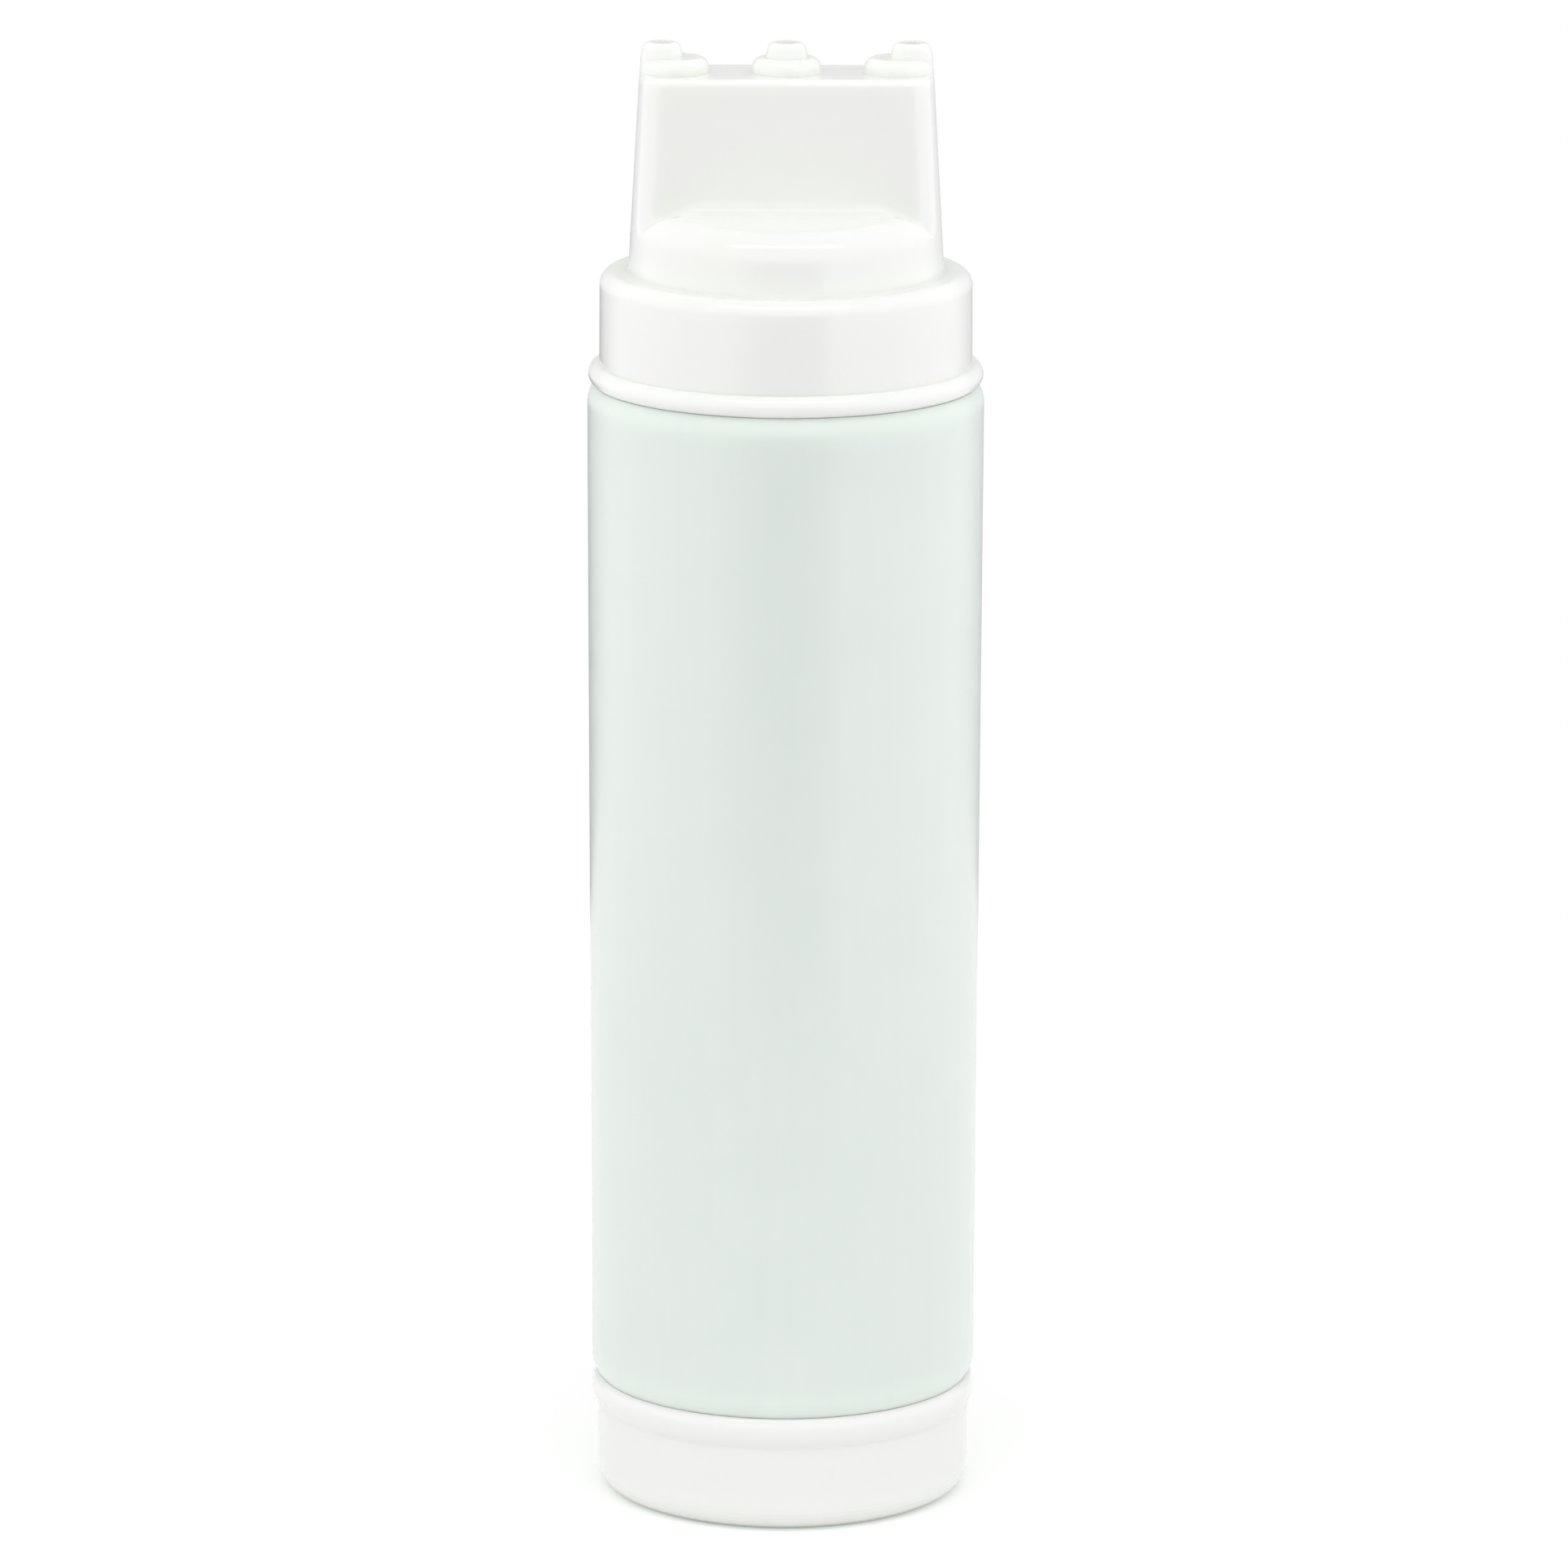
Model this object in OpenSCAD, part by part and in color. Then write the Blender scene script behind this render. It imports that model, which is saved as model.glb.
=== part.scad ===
// Squeeze bottle with a blade-shaped spout with three tips on top and a screw cap on each end.
// The bottle stands on its lower cap. The origin is the centre of that cap's standing face,
// +Z is up, and the flat front of the spout faces -Y.

/* [Bottle body] */
// Outer diameter of the wall below the upper shoulder
body_top_d = 70; // [66:0.2:76]
// Outer diameter of the wall above the lower shoulder
body_foot_d = 68.6; // [65:0.2:74]
// Length of the body between the flat faces of its two shoulders
body_l = 179.9; // [120:0.1:220]
// Thickness of the blow-moulded wall
body_wall = 1.2; // [0.8:0.1:1.8]
// Height over which each shoulder rounds in from the wall
shoulder_h = 3.3; // [2.4:0.1:5]
// Distance by which each shoulder rounds in
shoulder_in = 1; // [0.6:0.1:1.4]

/* [Screw necks and seals] */
// Outer diameter of the plain neck below its threads
neck_d = 60.4; // [58:0.2:61]
// Inner diameter of the neck, which is the mouth
mouth_d = 57; // [54:0.2:57.6]
// Length of each neck from the shoulder's face to its rim
neck_l = 15.2; // [13:0.1:18]
// Thickness of each sealing ring
seal_t = 2; // [1.2:0.1:2.6]

/* [Refill cap] */
// Outer diameter of the lower cap's wall
refill_d = 66.6; // [65.4:0.1:67.6]
// Thickness of its floor
refill_floor = 2.2; // [1.6:0.1:3]
// Radius of its rounded lower edge
refill_edge_r = 4.2; // [2:0.1:5]
// Depth of the shallow recess under its floor
refill_recess = 2; // [0.4:0.1:2.4]
// Height of the bead round its open end
refill_bead_h = 5.6; // [4.6:0.1:8]
// Distance by which that bead stands out from the wall
refill_bead_out = 1; // [0.6:0.1:1.4]

/* [Dispensing cap] */
// Outer diameter of the skirt above its bead
skirt_d = 65.7; // [65:0.1:67]
// Wall thickness of both cap skirts at the threads
skirt_wall = 1.4; // [1.2:0.1:1.6]
// Thickness of the shelf over the neck
shelf_t = 3.1; // [2.4:0.1:4]
// Radius of the shelf's rounded outer edge
shelf_edge_r = 2.4; // [1:0.1:3]
// Height of the bead round the skirt's open end
skirt_bead_h = 3.7; // [2.8:0.1:3.9]
// Radius of that bead's round section
skirt_bead_r = 1.95; // [1.95:0.05:2.3]

/* [Spout] */
// Outer diameter of the spout where it leaves the shelf
spout_foot_d = 55.5; // [53:0.1:56]
// Outer diameter of the spout at its flat top
spout_top_d = 51.6; // [51.6:0.1:52.6]
// Height of the spout from the shelf to its flat top
spout_h = 35.1; // [30:0.1:40]
// Depth of the blade from front to back at its top
blade_top_t = 18; // [15:0.1:20]
// Depth of the blade from front to back at its foot
blade_foot_t = 20; // [18:0.1:22]
// Radius of the blade's upright corners
blade_corner_r = 4; // [3:0.1:5]
// Height of the round base below the blade, to its shelf
spout_base_h = 11.6; // [10:0.1:13]
// Radius of the round base's upper edge
spout_base_edge_r = 4.8; // [3:0.1:5]
// Wall thickness of the spout
spout_wall = 2; // [1.6:0.1:2.4]

/* [Tips] */
// Distance from the middle boss to each outer boss
boss_pitch = 19.65; // [18:0.05:19.65]
// Diameter of each round boss under a tip
boss_d = 12.2; // [11:0.1:12.2]
// Height of each boss
boss_h = 2.7; // [2.2:0.1:3.4]
// Distance from the middle tip to each outer tip
tip_pitch = 21.85; // [20:0.05:21.85]
// Diameter of each tip at its foot
tip_foot_d = 7.5; // [6.8:0.1:7.5]
// Diameter of each tip below its rounded edge
tip_top_d = 6.9; // [6.2:0.1:7.1]
// Height of each tip
tip_h = 2.6; // [2:0.1:5]
// Diameter of the hole in each tip
orifice_d = 3; // [1:0.1:3.6]

/* [Hidden] */

natural = [0.86, 0.90, 0.87];
cap_white = [0.95, 0.96, 0.93];
seal_white = [0.88, 0.89, 0.88];

// Facets of the bodies, of the stubs and of the holes
round_fn = 144;
stub_fn = 64;
hole_fn = 48;
// Chords of a rounded edge in a turned profile, and of a small one
edge_steps = 6;
fine_steps = 3;

// Heights from the standing face up
foot_seat_z = refill_recess + refill_floor;
foot_rim_z = foot_seat_z + seal_t;
foot_shoulder_z = foot_rim_z + neck_l;
top_shoulder_z = foot_shoulder_z + body_l;
top_rim_z = top_shoulder_z + neck_l;
seat_z = top_rim_z + seal_t;
shelf_z = seat_z + shelf_t;
blade_z = shelf_z + spout_base_h;
spout_top_z = shelf_z + spout_h;
boss_top_z = spout_top_z + boss_h;
tip_top_z = boss_top_z + tip_h;

// Necks: bevel on the rim's edges, fillet at the root, and the easing inside the mouth's lower end
neck_r = neck_d / 2;
mouth_r = mouth_d / 2;
rim_bevel = 0.4;
neck_root_r = 0.8;
mouth_ease = 0.8;
// Shoulders: small edge round the flat face, roll inside, and how far the waist inside lies back
shoulder_edge = 0.2;
roll_r = 1.9;
waist_back = 0.1;

// Clear gap between each cap's open end and the shoulder's face
cap_gap = 0.3;
// Bevel inside each cap's open end
bore_bevel = 0.5;
// Height of the narrower, unthreaded band at the top of the dispensing cap's bore
band_h = 5.4;
// Heights above the lower rim at which the refill cap's band ends and its full bore starts
refill_band_over = 0.6;
refill_bore_over = 1.5;
// Height of the step from the band to the full bore in the dispensing cap
band_step = 0.6;
// Clear gap round a sealing ring in its seat, and how far the ring reaches into the mouth
seal_gap = 0.3;
seal_inset = 0.1;
skirt_r = skirt_d / 2;
refill_r = refill_d / 2;
band_r = neck_r + 0.7;
// The skirt narrows by this much on its radius towards the top
skirt_draft = 0.06;
// Width of the flat standing ring under the refill cap, and of the slope from it into the recess
stand_w = 2;
recess_slope = 1.8;
// Height of the refill cap's bead from its widest line to the open end
refill_bead_top = 1.9;

// Spout: fillets at its foot and at the blade's foot, and radius of the blade's upper edge
foot_fillet_r = 0.8;
blade_fillet_r = 1.6;
blade_edge_r = 1.1;
// The base's shelf falls by this much from the blade to its rounded edge
shelf_fall = 1;
// Upright run of the base below its rounded edge that each walk over the shelf starts with
walk_lead = 2;
// The spout's solid starts this far under the shelf's face
spout_root = 1.6;
// Thickness of the blade's roof, and radius of the hollow's upper corners in the base and the blade
roof_t = 3.2;
hollow_edge_r = 3;
// The round hollow narrows by this much on its radius up to its rounded edge
hollow_draft = 0.4;
// Bore inside each tip below its hole, and the skin left over it
tip_bore_d = 4;
tip_skin = 1.3;
tip_edge_r = 1.3;
boss_edge_r = 1.7;
boss_draft = 0.05;
stub_root = 1;

// Points on an arc round c, from angle a0 to a1
function arc(c, r, a0, a1, n = edge_steps) =
    [for (i = [0 : n]) let (a = a0 + (a1 - a0) * i / n) [c.x + r * cos(a), c.y + r * sin(a)]];

// Radius of the arc that leaves an upright wall and gains s sideways over height h
function bulge_r(s, h) = (h * h + s * s) / (2 * s);

// A half outline laid on the axis: dir 1 runs up from height z, dir -1 runs down from it
function place(line, z, dir) = [for (p = line) [p.x, z + dir * p.y]];

// A list of points in the opposite order
function reversed(line) = [for (i = [len(line) - 1 : -1 : 0]) line[i]];

// Outside of one end, from the straight wall of radius r over the shoulder to the neck's rim,
// as [radius, height beyond the shoulder's face]
function end_outside(r) =
    let (b = bulge_r(shoulder_in, shoulder_h), a = asin(shoulder_h / b))
    concat(
        arc([r - b, -shoulder_edge - shoulder_h], b, 0, a),
        [[r - shoulder_in - shoulder_edge, 0]],
        arc([neck_r + neck_root_r, neck_root_r], neck_root_r, -90, -180, fine_steps),
        [[neck_r, neck_l - rim_bevel], [neck_r - rim_bevel, neck_l]]
    );

// Inside of one end: from the neck's rim over the roll under the shoulder to the straight wall
function end_inside(r) =
    let (waist_r = r - shoulder_in - body_wall + waist_back)
    concat(
        [[mouth_r + rim_bevel, neck_l], [mouth_r, neck_l - rim_bevel]],
        [[mouth_r, mouth_ease - body_wall], [mouth_r + mouth_ease, -body_wall]],
        arc([waist_r - roll_r, -body_wall - roll_r], roll_r, 90, 0),
        [[r - body_wall, -shoulder_edge - shoulder_h - body_wall]]
    );

// The body's half outline, outside from foot to top and inside back down, turned round Z
module body_profile() {
    top_r = body_top_d / 2;
    foot_r = body_foot_d / 2;
    polygon(concat(
        reversed(place(end_outside(foot_r), foot_shoulder_z, -1)),
        place(end_outside(top_r), top_shoulder_z, 1),
        place(end_inside(top_r), top_shoulder_z, 1),
        reversed(place(end_inside(foot_r), foot_shoulder_z, -1))
    ));
}

module bottle_body() {
    color(natural)
        rotate_extrude($fn = round_fn)
            body_profile();
}

// A flat ring between a neck's rim and the seat of its cap
module seal_ring(z) {
    color(seal_white)
        translate([0, 0, z])
            difference() {
                cylinder(r = band_r - seal_gap, h = seal_t, $fn = round_fn);
                translate([0, 0, -1])
                    cylinder(r = mouth_r - seal_inset, h = seal_t + 2, $fn = round_fn);
            }
}

module top_seal() {
    seal_ring(top_rim_z);
}

module foot_seal() {
    seal_ring(foot_seat_z);
}

// Lower cap: a cup with a rounded foot, a recess inside its standing ring and a beaded open end
module refill_cap() {
    rim_z = foot_shoulder_z - cap_gap;
    bore_r = refill_r - skirt_wall;
    stand_r = refill_r - refill_edge_r;
    bead_z = rim_z - refill_bead_top;
    bead_r = refill_r + refill_bead_out;
    bead_low = refill_bead_h - refill_bead_top;
    low_b = bulge_r(refill_bead_out, bead_low);
    high_b = bulge_r(refill_bead_out, refill_bead_top);
    profile = concat(
        [[0, refill_recess], [stand_r - stand_w - recess_slope, refill_recess], [stand_r - stand_w, 0]],
        arc([stand_r, refill_edge_r], refill_edge_r, -90, 0),
        arc([bead_r - low_b, bead_z], low_b, -asin(bead_low / low_b), 0),
        arc([bead_r - high_b, bead_z], high_b, 0, asin(refill_bead_top / high_b)),
        [[bore_r + bore_bevel, rim_z], [bore_r, rim_z - bore_bevel]],
        [[bore_r, foot_rim_z + refill_bore_over], [band_r, foot_rim_z + refill_band_over]],
        [[band_r, foot_seat_z], [0, foot_seat_z]]
    );
    color(cap_white)
        rotate_extrude($fn = round_fn)
            polygon(profile);
}

// Outer radius of the cone on which the spout's base and the blade's ends lie, at height z
function cone_r(z) =
    (spout_foot_d + (spout_top_d - spout_foot_d) * (z - shelf_z) / spout_h) / 2;

// Half depth of the blade at height z
function blade_half(z) =
    (blade_foot_t + (blade_top_t - blade_foot_t) * max(0, z - blade_z) / (spout_h - spout_base_h)) / 2;

// Radius at angle a of a bar with round ends of radius r, half depth d and corners of radius c
function bar_radius(a, r, d, c) =
    let (cy = d - c, cx = sqrt((r - c) ^ 2 - cy ^ 2), k = cx * cos(a) + cy * sin(a))
    a <= atan2(cy, cx) ? r
    : a >= atan2(d, cx) ? d / sin(a)
    : k + sqrt(k * k - cx * cx - cy * cy + c * c);

// Radius of the blade at angle a and height z, its depth grown by g and the whole drawn in by e
function blade_radius(a, z, g, e) =
    bar_radius(a, cone_r(z) - e, blade_half(z) + g - e, blade_corner_r - e);

// The round base's upper edge starts at this height, and ends this far inside the cone
edge_z = blade_z - shelf_fall - spout_base_edge_r;
edge_inner_r = cone_r(edge_z) - spout_base_edge_r;
edge_l = spout_base_edge_r * PI / 2;

// Point [radius, height] at distance s on a walk up the base, over its edge and in on the shelf
function base_point(s) =
    let (turn = min(90, max(0, (s - walk_lead) / edge_l * 90)),
         flat = max(0, s - walk_lead - edge_l), low = min(0, s - walk_lead))
    s < walk_lead ? [cone_r(edge_z + low), edge_z + low]
    : [edge_inner_r + spout_base_edge_r * cos(turn) - flat,
       edge_z + spout_base_edge_r * sin(turn) + 2 * shelf_fall * flat / edge_inner_r];

// Distance at which that walk meets the foot of the blade's fillet at angle a, by halving n times
function walk_l(a, low, high, n = 24) =
    let (s = (low + high) / 2, p = base_point(s))
    n == 0 ? max(high, walk_lead)
    : p.x > blade_radius(a, p.y, blade_fillet_r, 0) ? walk_l(a, s, high, n - 1)
    : walk_l(a, low, s, n - 1);

// Shares of the walk at which its points lie: closely over the rounded edge, widely on the shelf
walk_shares = concat([for (i = [0 : 7]) i == 0 ? 0 : 0.1 + (i - 1) * 0.063], [0.74, 1]);

// The spout's skin at one angle of the first quarter, as [radius, height] from foot to top
function spout_column(a) =
    let (walk = walk_l(a, 0, walk_lead + edge_l + edge_inner_r), meet_z = base_point(walk).y,
         side_low = meet_z + blade_fillet_r, side_high = spout_top_z - blade_edge_r)
    concat(
        [[cone_r(shelf_z - spout_root), shelf_z - spout_root]],
        [for (t = [0 : 30 : 90]) let (z = shelf_z + foot_fillet_r * (1 - cos(t)))
            [cone_r(z) + foot_fillet_r * (1 - sin(t)), z]],
        [for (share = walk_shares) base_point(walk * share)],
        [for (t = [30 : 30 : 90]) let (z = meet_z + blade_fillet_r * (1 - cos(t)))
            [blade_radius(a, z, blade_fillet_r * (1 - sin(t)), 0), z]],
        [for (z = [(side_low + side_high) / 2]) [blade_radius(a, z, 0, 0), z]],
        [for (t = [0 : 30 : 90])
            let (z = side_high + blade_edge_r * sin(t))
            [blade_radius(a, z, 0, blade_edge_r * (1 - cos(t))), z]]
    );

// Angles round the spout, closest where the blade's corners turn
corner_from = 10;
corner_to = 28;
quarter_angles = concat(
    [for (i = [0 : 2]) i * corner_from / 3],
    [for (i = [0 : 17]) corner_from + i * (corner_to - corner_from) / 18],
    [for (i = [0 : 14]) corner_to + i * (90 - corner_to) / 15],
    [90]
);
quarter_n = len(quarter_angles) - 1;

// The spout's outer form: a round foot that turns in over a shelf and on up into a flat blade
module spout_solid() {
    columns = [for (a = quarter_angles) spout_column(a)];
    spots = concat(
        [for (i = [0 : quarter_n - 1]) [quarter_angles[i], i]],
        [for (i = [quarter_n : -1 : 1]) [180 - quarter_angles[i], i]],
        [for (i = [0 : quarter_n - 1]) [180 + quarter_angles[i], i]],
        [for (i = [quarter_n : -1 : 1]) [360 - quarter_angles[i], i]]
    );
    n = len(spots);
    m = len(columns[0]);
    points = [
        for (k = [0 : m - 1], spot = spots)
            let (p = columns[spot[1]][k])
            [p.x * cos(spot[0]), p.x * sin(spot[0]), p.y]
    ];
    lower = [for (i = [0 : n - 1]) i];
    upper = [for (i = [n - 1 : -1 : 0]) (m - 1) * n + i];
    sides = [
        for (k = [0 : m - 2], i = [0 : n - 1], half = [0, 1])
            let (p = k * n + i, q = k * n + (i + 1) % n)
            half == 0 ? [p, p + n, q] : [q, p + n, q + n]
    ];
    polyhedron(points, concat([lower], sides, [upper]));
}

// A round stub with a rounded upper edge, standing on height z and rooted below it
module stub(foot_r, top_r, z, h, edge_r) {
    translate([0, 0, z])
        rotate_extrude($fn = stub_fn)
            polygon(concat(
                [[0, -stub_root], [foot_r, -stub_root], [foot_r, 0]],
                arc([top_r - edge_r, h - edge_r], edge_r, 0, 90),
                [[0, h]]
            ));
}

// The hollow inside base and blade, open to the bottle below
module spout_hollow() {
    low_z = seat_z - 1;
    high_z = blade_z - shelf_fall - spout_wall;
    join_z = high_z - hollow_edge_r;
    roof_z = spout_top_z - roof_t;
    base_r = cone_r(shelf_z) - spout_wall;
    roof_r = cone_r(roof_z) - spout_wall;
    foot_half = blade_foot_t / 2 - spout_wall;
    roof_half = blade_top_t / 2 - spout_wall;
    rotate_extrude($fn = round_fn)
        polygon(concat(
            [[0, low_z], [base_r, low_z]],
            arc([base_r - hollow_draft - hollow_edge_r, join_z], hollow_edge_r, 0, 90),
            [[0, high_z]]
        ));
    intersection() {
        rotate_extrude($fn = round_fn)
            polygon(concat(
                [[0, join_z], [cone_r(join_z) - spout_wall, join_z]],
                arc([roof_r - hollow_edge_r, roof_z - hollow_edge_r], hollow_edge_r, 0, 90),
                [[0, roof_z]]
            ));
        rotate([90, 0, 90])
            translate([0, 0, -spout_foot_d / 2])
                linear_extrude(spout_foot_d)
                    polygon([
                        [-foot_half, join_z], [foot_half, join_z],
                        [roof_half, roof_z], [-roof_half, roof_z]
                    ]);
    }
}

// The beaded skirt and the shelf over the neck, as one turned ring
module skirt_ring() {
    low_z = top_shoulder_z + cap_gap;
    bore_r = skirt_r - skirt_wall;
    top_r = skirt_r - skirt_draft;
    hollow_r = cone_r(shelf_z) - spout_wall;
    under = skirt_bead_h - skirt_bead_r;
    rotate_extrude($fn = round_fn)
        polygon(concat(
            [[hollow_r, seat_z], [band_r, seat_z], [band_r, seat_z - band_h + band_step]],
            [[bore_r, seat_z - band_h], [bore_r, low_z + bore_bevel], [bore_r + bore_bevel, low_z]],
            arc([skirt_r, low_z + under], skirt_bead_r, -asin(under / skirt_bead_r), 90, 2 * edge_steps),
            arc([top_r - shelf_edge_r, shelf_z - shelf_edge_r], shelf_edge_r, 0, 90),
            [[hollow_r, shelf_z]]
        ));
}

module dispensing_cap() {
    bore_low_z = spout_top_z - roof_t - 1;
    color(cap_white)
        difference() {
            union() {
                skirt_ring();
                spout_solid();
                for (side = [-1, 0, 1]) {
                    translate([side * boss_pitch, 0, 0])
                        stub(boss_d / 2, boss_d / 2 - boss_draft, spout_top_z, boss_h, boss_edge_r);
                    translate([side * tip_pitch, 0, 0])
                        stub(tip_foot_d / 2, tip_top_d / 2, boss_top_z, tip_h, tip_edge_r);
                }
            }
            spout_hollow();
            for (side = [-1, 0, 1])
                translate([side * tip_pitch, 0, bore_low_z]) {
                    cylinder(d = tip_bore_d, h = tip_top_z - tip_skin - bore_low_z, $fn = hole_fn);
                    cylinder(d = orifice_d, h = tip_top_z - bore_low_z + 1, $fn = hole_fn);
                }
        }
}

bottle_body();
dispensing_cap();
top_seal();
refill_cap();
foot_seal();
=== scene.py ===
"""Looks of a squeeze bottle with a three-tipped blade spout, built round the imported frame.

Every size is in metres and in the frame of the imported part: the origin is the centre of the lower
cap's standing face, +Z is up, and the flat front of the spout faces -Y.
"""

import logging
import math
from dataclasses import dataclass, replace
from enum import Enum

import bmesh
import bpy
import numpy as np
from mathutils import Matrix, Vector


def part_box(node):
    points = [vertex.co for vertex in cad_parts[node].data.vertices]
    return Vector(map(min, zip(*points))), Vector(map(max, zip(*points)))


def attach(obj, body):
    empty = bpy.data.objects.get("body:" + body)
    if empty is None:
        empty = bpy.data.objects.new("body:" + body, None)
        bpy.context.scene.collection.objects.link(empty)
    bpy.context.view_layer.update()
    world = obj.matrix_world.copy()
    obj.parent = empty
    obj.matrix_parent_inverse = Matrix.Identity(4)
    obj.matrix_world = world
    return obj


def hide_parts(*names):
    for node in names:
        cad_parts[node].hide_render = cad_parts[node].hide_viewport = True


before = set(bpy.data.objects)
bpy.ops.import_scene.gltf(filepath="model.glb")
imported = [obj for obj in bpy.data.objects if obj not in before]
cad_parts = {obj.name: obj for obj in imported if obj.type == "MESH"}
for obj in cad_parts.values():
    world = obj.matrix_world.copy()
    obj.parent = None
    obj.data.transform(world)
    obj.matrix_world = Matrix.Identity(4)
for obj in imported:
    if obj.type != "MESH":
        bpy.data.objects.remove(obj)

MM = 0.001
ROUND_SEGMENTS = 240
STUB_SEGMENTS = 96
ARC_STEPS = 8

# Distance below which two points are one, and the least number that is divided by.
MERGE = 1e-7
TINY = 1e-6

# First angle, last angle and number of steps of each band of a quarter of the spout, in degrees.
SPOUT_BANDS = ((0, 8, 4), (8, 28, 30), (28, 90, 26))

# Directions in an outline, in degrees from the outward one.
BELOW, OUT, UP, IN, DOWN = -90, 0, 90, 180, 270

Row = np.ndarray
Colour = tuple[float, float, float]
Object = bpy.types.Object
Mesh = bpy.types.Mesh
Tree = bpy.types.NodeTree
Node = bpy.types.Node
Socket = bpy.types.NodeSocket
WHITE = (1.0, 1.0, 1.0, 1.0)

log = logging.getLogger("squeeze_bottle")


class Outline:
    """A half outline in (radius, height), drawn as straight runs and arcs."""

    def __init__(self) -> None:
        """Starts with no points."""
        self.points: list[tuple[float, float]] = []

    def to(self, radius: float, height: float) -> "Outline":
        """Adds a straight run to a point."""
        self.points.append((radius, height))
        return self

    def arc(self, radius: float, height: float, bend: float, start: float, end: float,
            steps: int = ARC_STEPS) -> "Outline":
        """Adds an arc.

        Args:
            radius: Radius at which the arc's centre lies.
            height: Height at which the arc's centre lies.
            bend: Radius of the arc itself.
            start: First angle in degrees, from the outward direction.
            end: Last angle in degrees.
            steps: Number of chords.

        Returns:
            The outline, so that calls can follow each other.
        """
        for angle in np.radians(np.linspace(start, end, steps + 1)):
            self.points.append((radius + bend * math.cos(angle), height + bend * math.sin(angle)))
        return self

    def join(self, other: "Outline", turned_back: bool = False) -> "Outline":
        """Adds the points of another outline, in its order or backwards."""
        self.points += other.points[::-1] if turned_back else other.points
        return self

    def placed(self, height: float, direction: int) -> "Outline":
        """Lays a copy of the outline on the axis.

        Args:
            height: Height from which it runs.
            direction: 1 where it runs up, -1 where it runs down.

        Returns:
            The copy.
        """
        moved = Outline()
        moved.points = [(radius, height + direction * rise) for radius, rise in self.points]
        return moved

    def held(self, hold: float = 0.12 * MM, short: float = 0.6 * MM,
             stride: float = 6 * MM) -> list[tuple[float, float]]:
        """Returns the points with extra ones on straight runs, so that they shade flat.

        Args:
            hold: Distance of the extra points from the ends of a run.
            short: Length up to which a run gets no extra points.
            stride: Longest run left without a point between.

        Returns:
            The points in order.
        """
        held = [self.points[0]]
        for (r0, z0), (r1, z1) in zip(self.points, self.points[1:]):
            length = math.hypot(r1 - r0, z1 - z0)
            if length > short:
                inner = np.linspace(hold, length - hold, 2 + int(length / stride))
                held += [(r0 + (r1 - r0) * s / length, z0 + (z1 - z0) * s / length) for s in inner]
            if length > MERGE:
                held.append((r1, z1))
        return held


def even_angles(count: int = ROUND_SEGMENTS) -> Row:
    """Returns angles at an even spacing round the circle, in radians."""
    return np.arange(count) * 2 * math.pi / count


def quarter(steps: int) -> Row:
    """Returns the angles of a quarter turn in even steps, in radians."""
    return np.radians(np.linspace(OUT, UP, steps + 1))


def spout_angles() -> Row:
    """Returns the angles of the spout's sections, closer where the blade's corners are.

    Returns:
        Angles all round the axis, in radians.
    """
    bands = [np.linspace(start, end, steps, endpoint=False) for start, end, steps in SPOUT_BANDS]
    first = np.radians(np.concatenate([*bands, [UP]]))
    half = np.concatenate([first, math.pi - first[-2:0:-1]])
    return np.concatenate([half, half + math.pi])


def row_at(angles: Row, radius: float | Row, height: float | Row) -> Row:
    """Returns one row of points round the axis.

    Args:
        angles: Angle of each point, in radians.
        radius: Radius of the points, or of each point.
        height: Height of the points, or of each point.

    Returns:
        An array of points, one line each.
    """
    radius = np.broadcast_to(radius, angles.shape)
    height = np.broadcast_to(height, angles.shape)
    return np.stack([radius * np.cos(angles), radius * np.sin(angles), height], axis=1)


def loft(name: str, rows: list[Row], ring: bool) -> Object:
    """Makes a closed mesh from rows of points.

    Args:
        name: Name of the new object.
        rows: Rows with the same number of points, in order along the section.
        ring: True where the last row meets the first, False where each end is closed by a face.

    Returns:
        The new object, with its faces outwards.
    """
    count = len(rows[0])
    last = len(rows) if ring else len(rows) - 1
    faces: list[tuple[int, ...]] = []
    for low in range(last):
        high = (low + 1) % len(rows)
        for i in range(count):
            j = (i + 1) % count
            faces.append((low * count + i, low * count + j, high * count + j, high * count + i))
    if not ring:
        faces.append(tuple(range(count - 1, -1, -1)))
        faces.append(tuple((len(rows) - 1) * count + i for i in range(count)))
    mesh = bpy.data.meshes.new(name)
    mesh.from_pydata(np.concatenate(rows).tolist(), [], faces)
    return new_object(name, mesh)


def turned(name: str, outline: Outline, ring: bool = True, angles: Row | None = None) -> Object:
    """Turns a half outline round the axis.

    Args:
        name: Name of the new object.
        outline: The half outline.
        ring: True for a closed outline clear of the axis, False for one whose ends are discs.
        angles: Angles of the points round the axis, even ones where none are given.

    Returns:
        The new object.
    """
    angles = even_angles() if angles is None else angles
    if ring:
        outline.to(*outline.points[0])
    points = outline.held()
    if ring:
        points = points[:-1]
    return loft(name, [row_at(angles, radius, height) for radius, height in points], ring)


def clean(mesh: Mesh) -> None:
    """Merges a mesh's doubles and turns its faces outwards.

    Args:
        mesh: The mesh, changed in place.
    """
    shape = bmesh.new()
    shape.from_mesh(mesh)
    bmesh.ops.remove_doubles(shape, verts=shape.verts, dist=MERGE)
    bmesh.ops.recalc_face_normals(shape, faces=shape.faces)
    shape.to_mesh(mesh)
    shape.free()


def new_object(name: str, mesh: Mesh) -> Object:
    """Cleans a mesh and links it to the scene as an object.

    Args:
        name: Name of the new object.
        mesh: Its mesh.

    Returns:
        The new object.
    """
    clean(mesh)
    made = bpy.data.objects.new(name, mesh)
    bpy.context.scene.collection.objects.link(made)
    return made


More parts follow.
